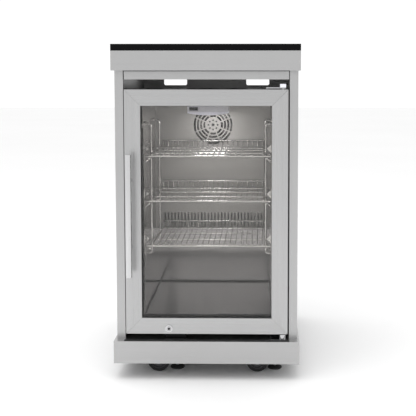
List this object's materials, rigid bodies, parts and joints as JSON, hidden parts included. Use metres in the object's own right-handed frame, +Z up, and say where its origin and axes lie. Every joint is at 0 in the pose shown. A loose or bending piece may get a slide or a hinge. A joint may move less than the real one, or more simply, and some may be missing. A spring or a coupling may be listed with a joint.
{
  "type": "outdoor refrigerator",
  "caption": "Glass-door outdoor refrigerator built into a stainless cabinet with a black stone top, wire shelves, bar handle, door lock and casters.",
  "frame": {"origin": "on the floor, at the middle of the overall box", "axes": "+Z up, -Y out of the glass door, +X to the viewer's right when facing the door"},
  "size_m": [0.51, 0.677, 0.92],
  "materials": {
    "stone_top": "honed black, slight sheen",
    "brushed_steel": "brushed along the length, satin",
    "deck_steel": "zinc grey",
    "chrome_wire": "bright",
    "shell_black": "semi-gloss black",
    "foam": "rigid foam, hidden",
    "liner_steel": "polished",
    "cover_panel": "satin grey",
    "coil_metal": "bare",
    "black_plastic": "fine texture",
    "white_plastic": "satin",
    "lens_plastic": "frosted",
    "compressor_black": "gloss black",
    "rubber_black": "matt",
    "copper_tube": "bare copper",
    "zinc": "zinc plated",
    "core_plastic": "filled with foam",
    "pane": "clear, faint grey tint",
    "gasket_rubber": "soft, matt",
    "handle_steel": "fine brushed",
    "lock_chrome": "bright",
    "tyre_rubber": "moulded"
  },
  "bodies": {
    "cabinet": {"countertop": "stone_top", "top_frame": "brushed_steel", "side_panel_left": "brushed_steel", "side_panel_right": "brushed_steel", "header_strip": "brushed_steel", "rear_panel": "brushed_steel", "plinth_cover": "brushed_steel", "base_deck": "deck_steel", "caster_plates": "zinc", "panel_screws": "zinc", "fridge_shell": "shell_black", "insulation": "foam", "fridge_liner": "liner_steel", "face_frame": "black_plastic", "evaporator_cover": "cover_panel", "evaporator_coil": "coil_metal", "fan_motor": "black_plastic", "control_housing": "white_plastic", "light_lens": "lens_plastic", "rack_left": "chrome_wire", "rack_right": "chrome_wire", "wall_strips": "chrome_wire", "compressor": "compressor_black", "compressor_mounts": "rubber_black", "condenser": "copper_tube", "refrigerant_tube": "copper_tube", "drain_tray": "black_plastic", "top_hinge": "zinc", "hinge_cap": "white_plastic", "bottom_hinge": "lock_chrome", "lock_striker": "zinc", "cable_gland": "black_plastic", "fridge_feet": "rubber_black"},
    "door": {"door_frame": "brushed_steel", "door_core": "core_plastic", "door_liner": "black_plastic", "glass_outer": "pane", "glass_inner": "pane", "door_gasket": "gasket_rubber", "handle_bar": "handle_steel", "handle_posts": "handle_steel", "lock_barrel": "lock_chrome"},
    "lock": {"lock_plug": "lock_chrome", "lock_cam": "zinc"},
    "shelf_top": {"shelf_top": "chrome_wire"},
    "shelf_middle": {"shelf_middle": "chrome_wire"},
    "shelf_bottom": {"shelf_bottom": "chrome_wire"},
    "fan": {"fan_blades": "core_plastic"},
    "switch": {"light_switch": "black_plastic"},
    "foot_left": {"levelling_foot_left": "rubber_black"},
    "foot_right": {"levelling_foot_right": "rubber_black"},
    "swivel_fl": {"caster_fork_fl": "zinc"},
    "wheel_fl": {"caster_wheel_fl": "tyre_rubber"},
    "swivel_fr": {"caster_fork_fr": "zinc"},
    "wheel_fr": {"caster_wheel_fr": "tyre_rubber"},
    "swivel_rl": {"caster_fork_rl": "zinc"},
    "wheel_rl": {"caster_wheel_rl": "tyre_rubber"},
    "swivel_rr": {"caster_fork_rr": "zinc"},
    "wheel_rr": {"caster_wheel_rr": "tyre_rubber"}
  },
  "joints": [
    {"name": "door_hinge", "type": "hinge", "parent": "cabinet", "child": "door", "pos_m": [0.208, -0.2765, 0.4615], "axis": [0, 0, 1], "range_deg": [0, 110]},
    {"name": "lock_turn", "type": "hinge", "parent": "door", "child": "lock", "pos_m": [-0.104, -0.2855, 0.14], "axis": [0, 1, 0], "range_deg": [0, 90]},
    {"name": "shelf_bottom_slide", "type": "slide", "parent": "cabinet", "child": "shelf_bottom", "axis": [0, -1, 0], "range_m": [0, 0.016]},
    {"name": "shelf_middle_slide", "type": "slide", "parent": "cabinet", "child": "shelf_middle", "axis": [0, -1, 0], "range_m": [0, 0.016]},
    {"name": "shelf_top_slide", "type": "slide", "parent": "cabinet", "child": "shelf_top", "axis": [0, -1, 0], "range_m": [0, 0.016]},
    {"name": "fan_spin", "type": "hinge", "parent": "cabinet", "child": "fan", "pos_m": [0, 0.1095, 0.6815], "axis": [0, 1, 0], "continuous": true},
    {"name": "switch_rock", "type": "hinge", "parent": "cabinet", "child": "switch", "pos_m": [-0.04, -0.1945, 0.7425], "axis": [1, 0, 0], "range_deg": [-8, 8]},
    {"name": "swivel_turn_fl", "type": "hinge", "parent": "cabinet", "child": "swivel_fl", "pos_m": [-0.1595, -0.2215, 0.09], "axis": [0, 0, 1], "continuous": true},
    {"name": "wheel_roll_fl", "type": "hinge", "parent": "swivel_fl", "child": "wheel_fl", "pos_m": [-0.1395, -0.2215, 0.031], "axis": [0, 1, 0], "continuous": true},
    {"name": "swivel_turn_fr", "type": "hinge", "parent": "cabinet", "child": "swivel_fr", "pos_m": [0.1195, -0.2215, 0.09], "axis": [0, 0, 1], "continuous": true},
    {"name": "wheel_roll_fr", "type": "hinge", "parent": "swivel_fr", "child": "wheel_fr", "pos_m": [0.1395, -0.2215, 0.031], "axis": [0, 1, 0], "continuous": true},
    {"name": "swivel_turn_rl", "type": "hinge", "parent": "cabinet", "child": "swivel_rl", "pos_m": [-0.1595, 0.2865, 0.09], "axis": [0, 0, 1], "continuous": true},
    {"name": "wheel_roll_rl", "type": "hinge", "parent": "swivel_rl", "child": "wheel_rl", "pos_m": [-0.1395, 0.2865, 0.031], "axis": [0, 1, 0], "continuous": true},
    {"name": "swivel_turn_rr", "type": "hinge", "parent": "cabinet", "child": "swivel_rr", "pos_m": [0.1195, 0.2865, 0.09], "axis": [0, 0, 1], "continuous": true},
    {"name": "wheel_roll_rr", "type": "hinge", "parent": "swivel_rr", "child": "wheel_rr", "pos_m": [0.1395, 0.2865, 0.031], "axis": [0, 1, 0], "continuous": true},
    {"name": "foot_left_screw", "type": "slide", "parent": "cabinet", "child": "foot_left", "axis": [0, 0, 1], "range_m": [0, 0.006]},
    {"name": "foot_right_screw", "type": "slide", "parent": "cabinet", "child": "foot_right", "axis": [0, 0, 1], "range_m": [0, 0.006]}
  ]
}
